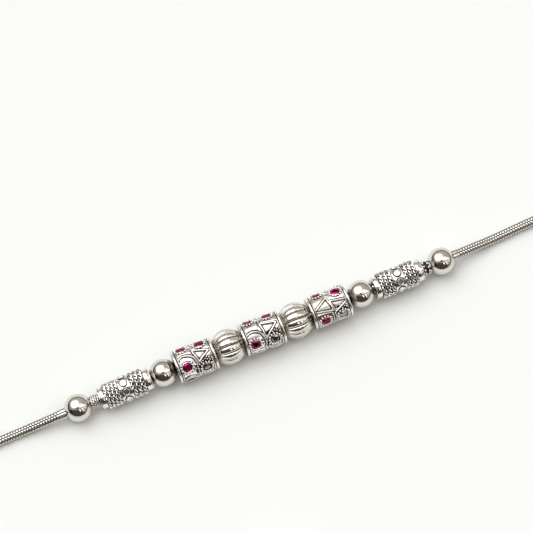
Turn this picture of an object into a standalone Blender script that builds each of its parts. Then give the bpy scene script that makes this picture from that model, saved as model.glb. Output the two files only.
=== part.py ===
"""Silver anklet: a snake chain loop threaded with balls, tubes, fluted balls and stone-set drums.

Units are metres, +Z is up and the anklet lies on z = 0. The beads sit on the straight front
stretch, the clasp closes the far side, and the box centre of the loop is at x = y = 0.
"""
import math

import bmesh
import bpy
from mathutils import Matrix, Vector

MM = 0.001

# Chain
CHAIN_DIAMETER = 1.52 * MM
CHAIN_POINTS = 78
DESCENT = 8.5 * MM          # run over which the chain drops from an outer ball to the surface
SOFTEN = 1.0 * MM           # half the run over which a change of slope is eased

# Clearances
BORE_CLEARANCE = 0.12 * MM  # round the chain, in every bore and socket
BEAD_GAP = 0.1 * MM         # where two beads touch
BALL_GAP = 0.32 * MM        # where a ball or a fluted ball stands off its neighbour
TUBE_GAP = 0.24 * MM        # between the right-hand inner ball and its tube
STONE_CLEARANCE = 0.035 * MM

# Plain balls
BALL_DIAMETER = 4.42 * MM
BALL_MOUTH = 0.02 * MM      # flat round the bore

# Ribbed coils between the outer balls and the tubes
COIL_LEFT_LENGTH = 1.4 * MM
COIL_LEFT_DIAMETER = 2.1 * MM
COIL_RIGHT_LENGTH = 1.38 * MM
COIL_RIGHT_DIAMETER = 2.3 * MM
COIL_LEFT_RIBS = 4
COIL_RIGHT_RIBS = 2
COIL_RIB_DEPTH = 0.06 * MM
COIL_RIB_CREST = 0.3        # flat top of a rib, as a share of the pitch

# Tubes with rope rows and discs
TUBE_DIAMETER = 4.2 * MM            # over the rope rows
TUBE_COLLAR_DIAMETER = 3.55 * MM
TUBE_NEAR_COLLAR = 0.9 * MM         # length of the left-hand collar
TUBE_FAR_COLLAR = 1.03 * MM         # length of the right-hand collar
TUBE_ROW_DEPTH = 0.26 * MM
TUBE_ROW_CREST = 0.4                # flat top of a row, as a share of the pitch
TUBE_BAND_LENGTH = 1.95 * MM
TUBE_BAND_DIAMETER = 3.86 * MM
TUBE_DISC_DIAMETER = 1.2 * MM
TUBE_DISC_RISE = 0.13 * MM
TUBE_DISCS = 8
TUBE_DISC_TURN = 32                 # degrees, from straight up towards the front
# Rope rows before and after the band: how many, and their pitch
TUBE_ROWS = {
    "left": ((4, 0.61 * MM), (3, 0.76 * MM)),
    "right": ((3, 0.74 * MM), (3, 0.72 * MM)),
}

# Fluted balls
FLUTED_DIAMETER = 5.62 * MM
FLUTED_LENGTH = 4.4 * MM
FLUTED_LOBES = 14
FLUTED_DEPTH = 0.3 * MM

# Drums
DRUM_LENGTH = 6.4 * MM
DRUM_DIAMETER = 5.32 * MM
DRUM_FIELD_DIAMETER = 4.98 * MM
DRUM_RIM_WIDTH = 0.4 * MM
DRUM_GROOVE_WIDTH = 0.1 * MM
DRUM_INNER_RIM_WIDTH = 0.14 * MM
DRUM_GROOVE_DEPTH = 0.1 * MM
DRUM_EDGE = 0.06 * MM
BEZEL_DIAMETER = 2.14 * MM
BEZEL_RISE = 0.2 * MM               # above the field
STONE_DIAMETER = 1.47 * MM
RIDGE_WIDTH = 0.17 * MM
RIDGE_RISE = 0.13 * MM              # above the field
RIDGE_ROOT = 0.25 * MM              # below the field

# Stone cut, as shares of its diameter
TABLE_SHARE = 0.56
CROWN_SHARE = 0.15
GIRDLE_SHARE = 0.04
PAVILION_SHARE = 0.3
STONE_FACETS = 8

# Clasp
CLASP_LENGTH = 10.0 * MM
CLASP_WIDTH = 4.2 * MM
CLASP_HEIGHT = 2.9 * MM
CLASP_EDGE = 0.4 * MM
CLASP_SOCKET_DEPTH = 3.0 * MM
CLASP_RISE = 6.0 * MM               # run over which the chain climbs to the clasp

# Mesh sides and steps
BEAD_SIDES = 16
BEZEL_SIDES = 10
DISC_SIDES = 10
BALL_STEPS = 8                      # from end to end
LOBE_SIDES = 4
RIDGE_STEPS = 2                     # along each side of a triangle
ROUTE_STEPS = 24                    # between two points of the route

# Route of the chain seen from above, in millimetres, closed, starting at the clasp.
ROUTE = (
    (2.0, -48.6), (-14.0, -48.5), (-28.0, -48.0), (-38.6, -46.8), (-45.4, -43.0),
    (-48.3, -37.4), (-46.7, -32.0), (-41.7, -28.95), (-36.2, -26.65), (-29.3, -23.9),
    (-16.0, -18.35), (-5.8, -14.15), (4.8, -9.75), (15.4, -5.3), (28.0, 0.2),
    (36.6, 4.4), (43.0, 7.45), (47.6, 9.1), (51.7, 8.0), (53.4, 3.4),
    (53.4, -6.0), (52.6, -18.0), (50.8, -31.0), (46.8, -41.2), (39.8, -46.6),
    (29.0, -48.2), (16.0, -48.6),
)
ROUTE_MIDDLE = (-0.72, -12.04)       # where the middle drum is centred on it

# Distance from a drum's middle to its two columns of stones
STONE_COLUMNS = {
    "left": {"near": 1.62 * MM, "far": 1.38 * MM},
    "middle": {"near": 1.72 * MM, "far": 1.48 * MM},
    "right": {"near": 1.42 * MM, "far": 1.6 * MM},
}
# Drum rows: the two upper rows of each column, in degrees from straight up towards the front.
# The other two rows share out the rest of the turn.
DRUM_ROWS = {
    "left": {"near": (-47, 30), "far": (-40, 56)},
    "middle": {"near": (-54, 46), "far": (-50, 52)},
    "right": {"near": (-56, 66), "far": (-33, 65)},
}
# Stones of the four rows in turn, near column then far column
ROW_STONES = (("ruby", "ruby"), ("ruby", "clear"), ("ruby", "ruby"), ("clear", "ruby"))
# Corners of the two raised triangles between rows: share of half the length, share of half the
# turn between the rows
TRIANGLES = {
    "near": ((-0.8, 0.05), (-0.15, 0.22), (-0.2, -0.48)),
    "far": ((-0.06, -0.4), (0.66, -0.14), (0.0, 0.55)),
}

CHAIN_RADIUS = CHAIN_DIAMETER / 2
BORE_RADIUS = CHAIN_RADIUS + BORE_CLEARANCE
BALL_HALF = math.sqrt((BALL_DIAMETER / 2) ** 2 - BORE_RADIUS ** 2)
FIELD_RADIUS = DRUM_FIELD_DIAMETER / 2
BEZEL_TOP = FIELD_RADIUS + BEZEL_RISE
CROWN_HEIGHT = CROWN_SHARE * STONE_DIAMETER
GIRDLE_HEIGHT = GIRDLE_SHARE * STONE_DIAMETER
PAVILION_HEIGHT = PAVILION_SHARE * STONE_DIAMETER
STONE_HEIGHT = CROWN_HEIGHT + GIRDLE_HEIGHT + PAVILION_HEIGHT
POCKET_RADIUS = (STONE_DIAMETER / 2 + STONE_CLEARANCE) / math.cos(math.pi / BEZEL_SIDES)
BEZEL_REACH = math.hypot(BEZEL_TOP, BEZEL_DIAMETER / 2)
AXIS_HEIGHT = max(FLUTED_DIAMETER / 2, BEZEL_REACH, DRUM_DIAMETER / 2)


def clear_scene():
    for obj in list(bpy.data.objects):
        bpy.data.objects.remove(obj, do_unlink=True)


def make_collection(name):
    collection = bpy.data.collections.new(name)
    bpy.context.scene.collection.children.link(collection)
    return collection


def make_material(name, color, metallic, roughness, transmission=0.0):
    material = bpy.data.materials.new(name)
    material.use_nodes = True
    shader = material.node_tree.nodes["Principled BSDF"]
    shader.inputs["Base Color"].default_value = (*color, 1.0)
    shader.inputs["Metallic"].default_value = metallic
    shader.inputs["Roughness"].default_value = roughness
    shader.inputs["Transmission Weight"].default_value = transmission
    material.diffuse_color = (*color, 1.0)
    return material


def add_object(name, data, material, collection):
    obj = bpy.data.objects.new(name, data)
    if not data.materials:
        data.materials.append(material)
    collection.objects.link(obj)
    return obj


# Route

def catmull_rom(points, per_span):
    """Closed smooth line through the points, as a dense list."""
    dense = []
    count = len(points)
    for i in range(count):
        p0, p1, p2, p3 = (points[(i + k - 1) % count] for k in range(4))
        t1 = max((p1 - p0).length ** 0.5, 1e-9)
        t2 = t1 + max((p2 - p1).length ** 0.5, 1e-9)
        t3 = t2 + max((p3 - p2).length ** 0.5, 1e-9)
        for k in range(per_span):
            t = t1 + (t2 - t1) * k / per_span
            a1 = p0 * ((t1 - t) / t1) + p1 * (t / t1)
            a2 = p1 * ((t2 - t) / (t2 - t1)) + p2 * ((t - t1) / (t2 - t1))
            a3 = p2 * ((t3 - t) / (t3 - t2)) + p3 * ((t - t2) / (t3 - t2))
            b1 = a1 * ((t2 - t) / t2) + a2 * (t / t2)
            b2 = a2 * ((t3 - t) / (t3 - t1)) + a3 * ((t - t1) / (t3 - t1))
            dense.append(b1 * ((t2 - t) / (t2 - t1)) + b2 * ((t - t1) / (t2 - t1)))
    return dense


class Route:
    """The loop seen from above, read by distance along it from the clasp's middle."""

    def __init__(self):
        points = [Vector((x * MM, y * MM)) for x, y in ROUTE]
        self.dense = catmull_rom(points, ROUTE_STEPS)
        self.dense.append(self.dense[0])
        self.stations = [0.0]
        for a, b in zip(self.dense, self.dense[1:]):
            self.stations.append(self.stations[-1] + (b - a).length)
        self.length = self.stations[-1]
        self.middle = self.nearest(Vector((ROUTE_MIDDLE[0] * MM, ROUTE_MIDDLE[1] * MM)))

    def nearest(self, point):
        """Station of the loop's point that is nearest to this one."""
        found = []
        for start, a, b in zip(self.stations, self.dense, self.dense[1:]):
            span = b - a
            share = min(max((point - a).dot(span) / span.length_squared, 0.0), 1.0)
            found.append(((a + span * share - point).length, start + share * span.length))
        return min(found)[1]

    def flat(self, station):
        station = station % self.length
        low, high = 0, len(self.stations) - 1
        while high - low > 1:
            half = (low + high) // 2
            if self.stations[half] <= station:
                low = half
            else:
                high = half
        span = self.stations[high] - self.stations[low]
        return self.dense[low].lerp(self.dense[high], (station - self.stations[low]) / span)


def smoothstep(t):
    t = min(max(t, 0.0), 1.0)
    return t * t * (3.0 - 2.0 * t)


class String:
    """Bead places along the route and the height of the chain at each."""

    def __init__(self, route):
        self.route = route
        self.places = {}
        self.lay_beads()

    def lay_beads(self):
        """Places run outwards from the middle drum: name, station of the centre, length."""
        sides = {
            -1: (("fluted_left", FLUTED_LENGTH, BALL_GAP), ("drum_left", DRUM_LENGTH, BALL_GAP),
                 ("inner_ball_left", 2 * BALL_HALF, BEAD_GAP),
                 ("tube_left", tube_length("left"), BEAD_GAP),
                 ("coil_left", COIL_LEFT_LENGTH, BEAD_GAP),
                 ("outer_ball_left", 2 * BALL_HALF, BEAD_GAP)),
            1: (("fluted_right", FLUTED_LENGTH, BALL_GAP), ("drum_right", DRUM_LENGTH, BALL_GAP),
                ("inner_ball_right", 2 * BALL_HALF, BALL_GAP),
                ("tube_right", tube_length("right"), TUBE_GAP),
                ("coil_right", COIL_RIGHT_LENGTH, BEAD_GAP),
                ("outer_ball_right", 2 * BALL_HALF, BEAD_GAP)),
        }
        self.places["drum_middle"] = (self.route.middle, DRUM_LENGTH)
        for side, beads in sides.items():
            edge = self.route.middle + side * DRUM_LENGTH / 2
            for name, length, gap in beads:
                self.places[name] = (edge + side * (gap + length / 2), length)
                edge += side * (gap + length)

    def raw_height(self, station):
        """Height before easing: level over the drums, sloping to the outer balls, then down."""
        side = "left" if station < self.route.middle else "right"
        away = abs(station - self.route.middle)
        drum, length = self.places["drum_" + side]
        ball = abs(self.places["outer_ball_" + side][0] - self.route.middle)
        level_end = abs(drum - self.route.middle) + length / 2
        slope = (BALL_DIAMETER / 2 - AXIS_HEIGHT) / (ball - level_end)
        ball_end = ball + BALL_HALF
        if away <= level_end:
            return AXIS_HEIGHT
        if away <= ball_end:
            return AXIS_HEIGHT + slope * (away - level_end)
        end_height = AXIS_HEIGHT + slope * (ball_end - level_end)
        drop = smoothstep((away - ball_end) / DESCENT)
        low = CHAIN_RADIUS
        to_clasp = min(station % self.route.length, self.route.length - station % self.route.length)
        climb = smoothstep(1.0 - (to_clasp - CLASP_LENGTH / 2) / CLASP_RISE)
        return end_height + (low - end_height) * drop + (CLASP_HEIGHT / 2 - low) * climb

    def point(self, station):
        flat = self.route.flat(station)
        steps = (-SOFTEN, -SOFTEN / 2, 0.0, SOFTEN / 2, SOFTEN)
        height = sum(self.raw_height(station + step) for step in steps) / len(steps)
        return Vector((flat.x, flat.y, height))

    def frame(self, name):
        """Placement of a bead: local Z along the string, local X straight up."""
        station, length = self.places[name]
        start = self.point(station - length / 2)
        end = self.point(station + length / 2)
        along = (end - start).normalized()
        up = (Vector((0, 0, 1)) - along * along.z).normalized()
        side = along.cross(up)
        turn = Matrix((up, side, along)).transposed().to_4x4()
        return Matrix.Translation((start + end) / 2) @ turn


# Shapes

def turned_mesh(name, outline):
    """Closed outline of (radius, height) pairs in the XZ plane for a Screw modifier."""
    mesh = bpy.data.meshes.new(name)
    points = [(radius, 0.0, height) for radius, height in outline]
    edges = [(i, (i + 1) % len(points)) for i in range(len(points))]
    mesh.from_pydata(points, edges, [])
    return mesh


def turn(obj, sides):
    screw = obj.modifiers.new("Turn", "SCREW")
    screw.axis = "Z"
    screw.angle = math.tau
    screw.steps = sides
    screw.render_steps = sides
    screw.use_merge_vertices = True
    screw.merge_threshold = 1e-6
    screw.use_smooth_shade = True


def bored(outer, bore_radius):
    """Outline with its outer side from the top down, closed by the bore."""
    top, bottom = outer[0][1], outer[-1][1]
    return list(outer) + [(bore_radius, bottom), (bore_radius, top)]


def ball_outline():
    radius = BALL_DIAMETER / 2
    limit = math.acos(BALL_HALF / radius)
    outer = []
    for i in range(BALL_STEPS + 1):
        angle = limit + (math.pi - 2 * limit) * i / BALL_STEPS
        outer.append((radius * math.sin(angle), radius * math.cos(angle)))
    outer[0] = (BORE_RADIUS + BALL_MOUTH, BALL_HALF)
    outer[-1] = (BORE_RADIUS + BALL_MOUTH, -BALL_HALF)
    return bored(outer, BORE_RADIUS)


def coil_outline(length, diameter, ribs):
    pitch = length / ribs
    flank = (1.0 - COIL_RIB_CREST) / 2 * pitch
    outer = [(diameter / 2 - COIL_RIB_DEPTH, length / 2)]
    for i in range(ribs):
        top = length / 2 - i * pitch
        outer.append((diameter / 2, top - flank))
        outer.append((diameter / 2, top - pitch + flank))
        outer.append((diameter / 2 - COIL_RIB_DEPTH, top - pitch))
    return bored(outer, BORE_RADIUS)


def rows_length(rows):
    count, pitch = rows
    return count * pitch


def tube_length(where):
    before, after = TUBE_ROWS[where]
    collars = TUBE_NEAR_COLLAR + TUBE_FAR_COLLAR
    return collars + rows_length(before) + TUBE_BAND_LENGTH + rows_length(after)


def band_height(where):
    """Middle of the band, along the tube from its own middle."""
    before = TUBE_ROWS[where][0]
    return TUBE_NEAR_COLLAR + rows_length(before) + TUBE_BAND_LENGTH / 2 - tube_length(where) / 2


def tube_outline(where):
    """Collar, rope rows, band, rope rows and collar, from the top down."""
    crest = TUBE_DIAMETER / 2
    valley = crest - TUBE_ROW_DEPTH
    band = TUBE_BAND_DIAMETER / 2
    collar = TUBE_COLLAR_DIAMETER / 2
    height = tube_length(where) / 2
    outer = [(collar, height), (collar, height - TUBE_FAR_COLLAR)]
    height -= TUBE_FAR_COLLAR
    for side, (count, pitch) in enumerate(reversed(TUBE_ROWS[where])):
        flank = (1.0 - TUBE_ROW_CREST) / 2 * pitch
        for _ in range(count):
            outer.append((valley, height))
            outer.append((crest, height - flank))
            outer.append((crest, height - pitch + flank))
            height -= pitch
        outer.append((valley, height))
        if side == 0:
            outer.append((band, height))
            height -= TUBE_BAND_LENGTH
            outer.append((band, height))
    outer.append((collar, height))
    outer.append((collar, height - TUBE_NEAR_COLLAR))
    return bored(outer, BORE_RADIUS)


def drum_outline():
    """Outer rim, groove and inner rim at each end, with the field between."""
    rim = DRUM_DIAMETER / 2
    groove = rim - DRUM_GROOVE_DEPTH
    half = DRUM_LENGTH / 2
    upper = [(rim - DRUM_EDGE, half), (rim, half - DRUM_EDGE), (rim, half - DRUM_RIM_WIDTH)]
    upper.append((groove, half - DRUM_RIM_WIDTH - DRUM_GROOVE_WIDTH / 2))
    upper.append((rim, half - DRUM_RIM_WIDTH - DRUM_GROOVE_WIDTH))
    inner = half - DRUM_RIM_WIDTH - DRUM_GROOVE_WIDTH - DRUM_INNER_RIM_WIDTH
    upper.append((rim, inner))
    upper.append((FIELD_RADIUS, inner - DRUM_EDGE))
    lower = [(radius, -height) for radius, height in reversed(upper)]
    return bored(upper + lower, BORE_RADIUS)


def transformed_cylinder(bm, radius, low, high, sides, matrix):
    """Cylinder from low to high along the matrix's Z."""
    placed = matrix @ Matrix.Translation((0, 0, (low + high) / 2))
    bmesh.ops.create_cone(bm, cap_ends=True, segments=sides, radius1=radius, radius2=radius,
                          depth=high - low, matrix=placed)


def radial_matrix(angle, height):
    """Local Z outwards at this angle from local +X of the bead, at this height along it."""
    outwards = Vector((math.cos(angle), math.sin(angle), 0))
    along = Vector((0, 0, 1))
    turn_matrix = Matrix((along.cross(outwards), along, outwards)).transposed().to_4x4()
    return Matrix.Translation((0, 0, height)) @ turn_matrix


def ridge_ring(bm, corners):
    """Raised triangular frame on the field; corners are (height, angle) on the drum."""
    flat = [Vector((height, angle * FIELD_RADIUS)) for height, angle in corners]
    sides = [(flat[(i + 1) % 3] - flat[i]).length for i in range(3)]
    a, b = flat[1] - flat[0], flat[2] - flat[0]
    area = abs(a.x * b.y - a.y * b.x) / 2
    inradius = 2 * area / sum(sides)
    centre = sum((flat[i] * sides[(i + 1) % 3] for i in range(3)), Vector((0, 0))) / sum(sides)
    inner_share = 1.0 - min(RIDGE_WIDTH / inradius, 0.8)
    outer, inner = [], []
    for i in range(3):
        for k in range(RIDGE_STEPS):
            point = flat[i].lerp(flat[(i + 1) % 3], k / RIDGE_STEPS)
            outer.append(point)
            inner.append(centre + (point - centre) * inner_share)
    low = FIELD_RADIUS - RIDGE_ROOT
    high = FIELD_RADIUS + RIDGE_RISE
    rings = []
    for line, radius in ((outer, low), (outer, high), (inner, high), (inner, low)):
        ring = []
        for point in line:
            angle = point.y / FIELD_RADIUS
            ring.append(bm.verts.new((radius * math.cos(angle), radius * math.sin(angle), point.x)))
        rings.append(ring)
    faces = []
    count = len(outer)
    for k in range(4):
        this, following = rings[k], rings[(k + 1) % 4]
        for i in range(count):
            j = (i + 1) % count
            faces.append(bm.faces.new((this[i], this[j], following[j], following[i])))
    bmesh.ops.recalc_face_normals(bm, faces=faces)


def column_rows(upper):
    """Angles of the four rows of a column from its two upper ones, in radians."""
    first, second = (math.radians(value) for value in upper)
    step = (math.tau - (second - first)) / 3
    return [first, second, second + step, second + 2 * step]


def stone_seats(where):
    """Each stone of a drum: kind, angle and height along the drum."""
    seats = []
    for column, side in (("near", -1), ("far", 1)):
        height = side * STONE_COLUMNS[where][column]
        for row, angle in enumerate(column_rows(DRUM_ROWS[where][column])):
            kind = ROW_STONES[row][0 if column == "near" else 1]
            seats.append((kind, angle, height))
    return seats


def drum_relief(where):
    bm = bmesh.new()
    for _, angle, height in stone_seats(where):
        root = FIELD_RADIUS - RIDGE_ROOT
        matrix = radial_matrix(angle, height)
        transformed_cylinder(bm, BEZEL_DIAMETER / 2, root, BEZEL_TOP, BEZEL_SIDES, matrix)
    for column in ("near", "far"):
        angles = column_rows(DRUM_ROWS[where][column])
        for i, start in enumerate(angles):
            end = angles[i + 1] if i < 3 else angles[0] + math.tau
            middle, half = (start + end) / 2, (end - start) / 2
            corners = []
            for along, across in TRIANGLES[column]:
                corners.append((along * DRUM_LENGTH / 2, middle + across * half))
            ridge_ring(bm, corners)
    mesh = bpy.data.meshes.new("drum_relief")
    bm.to_mesh(mesh)
    bm.free()
    return mesh


def stone_pockets(where):
    bm = bmesh.new()
    floor = BEZEL_TOP - STONE_HEIGHT - 2 * STONE_CLEARANCE
    for _, angle, height in stone_seats(where):
        matrix = radial_matrix(angle, height)
        top = BEZEL_TOP + BEZEL_RISE
        transformed_cylinder(bm, POCKET_RADIUS, floor, top, BEZEL_SIDES, matrix)
    mesh = bpy.data.meshes.new("stone_pockets")
    bm.to_mesh(mesh)
    bm.free()
    return mesh


def tube_discs():
    """Raised discs round the tube's band."""
    bm = bmesh.new()
    band = TUBE_BAND_DIAMETER / 2
    for i in range(TUBE_DISCS):
        matrix = radial_matrix(math.radians(TUBE_DISC_TURN) + math.tau * i / TUBE_DISCS, 0.0)
        transformed_cylinder(bm, TUBE_DISC_DIAMETER / 2, band - RIDGE_ROOT, band + TUBE_DISC_RISE,
                             DISC_SIDES, matrix)
    mesh = bpy.data.meshes.new("tube_discs")
    bm.to_mesh(mesh)
    bm.free()
    return mesh


def fluted_mesh():
    """Ball of rounded lobes that run from one plain end to the other, lofted ring by ring."""
    bm = bmesh.new()
    radius = FLUTED_DIAMETER / 2
    around = FLUTED_LOBES * LOBE_SIDES
    limit = math.acos(FLUTED_LENGTH / 2 / radius)
    rings = []
    for i in range(BALL_STEPS + 1):
        share = i / BALL_STEPS
        angle = limit + (math.pi - 2 * limit) * share
        ring_radius = radius * math.sin(angle)
        height = radius * math.cos(angle)
        depth = FLUTED_DEPTH * math.sin(math.pi * share) ** 0.5 if 0 < share < 1 else 0.0
        ring = []
        for k in range(around):
            turn_angle = math.tau * k / around
            lobe = abs(math.cos(FLUTED_LOBES * turn_angle / 2))
            r = ring_radius - depth * (1.0 - lobe) ** 1.5
            ring.append(bm.verts.new((r * math.cos(turn_angle), r * math.sin(turn_angle), height)))
        rings.append(ring)
    for height in (-FLUTED_LENGTH / 2, FLUTED_LENGTH / 2):
        ring = []
        for k in range(around):
            turn_angle = math.tau * k / around
            point = (BORE_RADIUS * math.cos(turn_angle), BORE_RADIUS * math.sin(turn_angle), height)
            ring.append(bm.verts.new(point))
        rings.append(ring)
    for this, following in zip(rings, rings[1:] + rings[:1]):
        for k in range(around):
            j = (k + 1) % around
            bm.faces.new((this[k], this[j], following[j], following[k]))
    bmesh.ops.recalc_face_normals(bm, faces=bm.faces)
    for face in bm.faces:
        face.smooth = True
    mesh = bpy.data.meshes.new("fluted_ball")
    bm.to_mesh(mesh)
    bm.free()
    return mesh


def stone_mesh(name):
    """Round stone with a table, crown facets, girdle and pavilion; its table faces local +Z."""
    bm = bmesh.new()
    table = TABLE_SHARE * STONE_DIAMETER / 2
    girdle = STONE_DIAMETER / 2
    levels = ((table, 0.0), (girdle, -CROWN_HEIGHT), (girdle, -CROWN_HEIGHT - GIRDLE_HEIGHT))
    rings = []
    for radius, height in levels:
        ring = []
        for k in range(STONE_FACETS):
            angle = math.tau * (k + 0.5) / STONE_FACETS
            ring.append(bm.verts.new((radius * math.cos(angle), radius * math.sin(angle), height)))
        rings.append(ring)
    culet = bm.verts.new((0, 0, -STONE_HEIGHT))
    bm.faces.new(rings[0])
    for this, following in zip(rings, rings[1:]):
        for k in range(STONE_FACETS):
            j = (k + 1) % STONE_FACETS
            bm.faces.new((this[k], this[j], following[j], following[k]))
    for k in range(STONE_FACETS):
        bm.faces.new((rings[-1][k], rings[-1][(k + 1) % STONE_FACETS], culet))
    bmesh.ops.recalc_face_normals(bm, faces=bm.faces)
    mesh = bpy.data.meshes.new(name)
    bm.to_mesh(mesh)
    bm.free()
    return mesh


# Pieces

def combine(obj, name, mesh, operation, matrix, cutters):
    """Join to or cut from obj a helper solid that is kept out of the finished piece."""
    helper = bpy.data.objects.new(name, mesh)
    helper.matrix_world = matrix
    helper.hide_render = True
    helper.display_type = "WIRE"
    cutters.objects.link(helper)
    modifier = obj.modifiers.new(name, "BOOLEAN")
    modifier.operation = operation
    modifier.object = helper
    modifier.solver = "EXACT"
    modifier.use_self = True


def build_chain(string, material, parts):
    route = string.route
    stop = CLASP_LENGTH / 2 - CLASP_SOCKET_DEPTH + BORE_CLEARANCE
    curve = bpy.data.curves.new("chain", "CURVE")
    curve.dimensions = "3D"
    curve.bevel_depth = CHAIN_RADIUS
    curve.bevel_resolution = 2
    curve.use_fill_caps = True
    spline = curve.splines.new("POLY")
    spline.points.add(CHAIN_POINTS - 1)
    for i in range(CHAIN_POINTS):
        station = stop + (route.length - 2 * stop) * i / (CHAIN_POINTS - 1)
        spline.points[i].co = (*string.point(station), 1.0)
    spline.use_smooth = True
    add_object("chain", curve, material, parts)


def build_clasp(string, material, parts, cutters):
    start = string.point(-CLASP_LENGTH / 2)
    end = string.point(CLASP_LENGTH / 2)
    along = Vector((end.x - start.x, end.y - start.y, 0)).normalized()
    side = Vector((0, 0, 1)).cross(along)
    centre = (start + end) / 2
    centre.z = CLASP_HEIGHT / 2
    place = Matrix.Translation(centre) @ Matrix((along, side, Vector((0, 0, 1)))).transposed().to_4x4()
    bm = bmesh.new()
    bmesh.ops.create_cube(bm, size=1.0)
    bmesh.ops.scale(bm, vec=(CLASP_LENGTH, CLASP_WIDTH, CLASP_HEIGHT), verts=bm.verts)
    mesh = bpy.data.meshes.new("clasp")
    bm.to_mesh(mesh)
    bm.free()
    clasp = add_object("clasp", mesh, material, parts)
    clasp.matrix_world = place
    edge = clasp.modifiers.new("Edges", "BEVEL")
    edge.width = CLASP_EDGE
    edge.segments = 2
    edge.limit_method = "ANGLE"
    bm = bmesh.new()
    for side_sign in (-1, 1):
        outwards = Matrix.Rotation(side_sign * math.pi / 2, 4, "Y")
        transformed_cylinder(bm, BORE_RADIUS, CLASP_LENGTH / 2 - CLASP_SOCKET_DEPTH,
                             CLASP_LENGTH / 2 + CLASP_EDGE, BEAD_SIDES, outwards)
    sockets = bpy.data.meshes.new("clasp_sockets")
    bm.to_mesh(sockets)
    bm.free()
    combine(clasp, "clasp_sockets", sockets, "DIFFERENCE", place, cutters)


def build_turned(string, name, outline, material, parts):
    obj = add_object(name, turned_mesh(name, outline), material, parts)
    turn(obj, BEAD_SIDES)
    obj.matrix_world = string.frame(name)
    return obj


def build_balls(string, material, parts):
    for name in ("outer_ball_left", "inner_ball_left", "inner_ball_right", "outer_ball_right"):
        build_turned(string, name, ball_outline(), material, parts)


def build_coils(string, material, parts):
    left = coil_outline(COIL_LEFT_LENGTH, COIL_LEFT_DIAMETER, COIL_LEFT_RIBS)
    right = coil_outline(COIL_RIGHT_LENGTH, COIL_RIGHT_DIAMETER, COIL_RIGHT_RIBS)
    build_turned(string, "coil_left", left, material, parts)
    build_turned(string, "coil_right", right, material, parts)


def build_tubes(string, material, parts, cutters):
    for where in TUBE_ROWS:
        name = "tube_" + where
        tube = build_turned(string, name, tube_outline(where), material, parts)
        place = string.frame(name) @ Matrix.Translation((0, 0, band_height(where)))
        combine(tube, name + "_discs", tube_discs(), "UNION", place, cutters)


def build_fluted(string, material, parts):
    mesh = fluted_mesh()
    for name in ("fluted_left", "fluted_right"):
        add_object(name, mesh, material, parts).matrix_world = string.frame(name)


def build_drums(string, materials, parts, cutters):
    stones = {kind: stone_mesh(kind + "_stone") for kind in ("ruby", "clear")}
    for where in DRUM_ROWS:
        name = "drum_" + where
        place = string.frame(name)
        drum = build_turned(string, name, drum_outline(), materials["cast"], parts)
        combine(drum, name + "_relief", drum_relief(where), "UNION", place, cutters)
        combine(drum, name + "_pockets", stone_pockets(where), "DIFFERENCE", place, cutters)
        counts = {"ruby": 0, "clear": 0}
        for kind, angle, height in stone_seats(where):
            counts[kind] += 1
            label = f"{kind}_{where}_{counts[kind]}"
            stone = add_object(label, stones[kind], materials[kind], parts)
            seat = radial_matrix(angle, height) @ Matrix.Translation((0, 0, BEZEL_TOP - STONE_CLEARANCE))
            stone.matrix_world = place @ seat


def centre_on_origin(parts, cutters):
    """Move everything so that the box centre is over the origin."""
    bpy.context.view_layer.update()
    graph = bpy.context.evaluated_depsgraph_get()
    low, high = Vector((1, 1, 1)), Vector((-1, -1, -1))
    for obj in parts.objects:
        evaluated = obj.evaluated_get(graph)
        for vertex in evaluated.to_mesh().vertices:
            point = evaluated.matrix_world @ vertex.co
            low = Vector(map(min, low, point))
            high = Vector(map(max, high, point))
        evaluated.to_mesh_clear()
    shift = Matrix.Translation((-(low.x + high.x) / 2, -(low.y + high.y) / 2, 0))
    for obj in list(parts.objects) + list(cutters.objects):
        obj.matrix_world = shift @ obj.matrix_world


def main():
    clear_scene()
    parts = make_collection("beaded_anklet")
    cutters = make_collection("cutters")
    polished = make_material("silver_polished", (0.82, 0.81, 0.79), 1.0, 0.12)
    linked = make_material("silver_chain", (0.76, 0.75, 0.73), 1.0, 0.25)
    cast = make_material("silver_cast", (0.78, 0.77, 0.75), 1.0, 0.22)
    materials = {
        "cast": cast,
        "ruby": make_material("ruby_glass", (0.55, 0.01, 0.12), 0.0, 0.05, 0.3),
        "clear": make_material("clear_glass", (0.75, 0.74, 0.72), 0.0, 0.05, 0.6),
    }
    string = String(Route())
    build_chain(string, linked, parts)
    build_clasp(string, polished, parts, cutters)
    build_balls(string, polished, parts)
    build_coils(string, cast, parts)
    build_tubes(string, cast, parts, cutters)
    build_fluted(string, polished, parts)
    build_drums(string, materials, parts, cutters)
    centre_on_origin(parts, cutters)


main()
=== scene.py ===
"""Looks of the silver anklet: woven chain, polished and fluted balls, rope-ringed tubes and
stone-set drums on a pale floor. Metres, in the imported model's frame."""

import math

import bmesh
import bpy
import numpy as np
from mathutils import Matrix, Vector


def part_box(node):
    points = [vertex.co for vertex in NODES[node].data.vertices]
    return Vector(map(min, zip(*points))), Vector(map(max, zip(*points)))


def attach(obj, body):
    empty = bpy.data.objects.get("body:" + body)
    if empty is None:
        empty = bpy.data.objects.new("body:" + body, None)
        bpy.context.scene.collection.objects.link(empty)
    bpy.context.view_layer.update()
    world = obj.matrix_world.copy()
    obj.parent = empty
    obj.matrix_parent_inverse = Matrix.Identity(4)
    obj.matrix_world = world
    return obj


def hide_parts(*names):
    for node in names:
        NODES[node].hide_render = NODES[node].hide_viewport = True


MM = 0.001

# Camera: it looks from in front and above at a point of the floor behind the middle drum
BEYOND_DRUM = (0.72 * MM, 12.04 * MM)
CAMERA_ELEVATION = 72.0  # degrees
CAMERA_DISTANCE = 350 * MM
MM_PER_PIXEL = 0.1608
IMAGE_WIDTH = 533
SENSOR_WIDTH = 36.0

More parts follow.
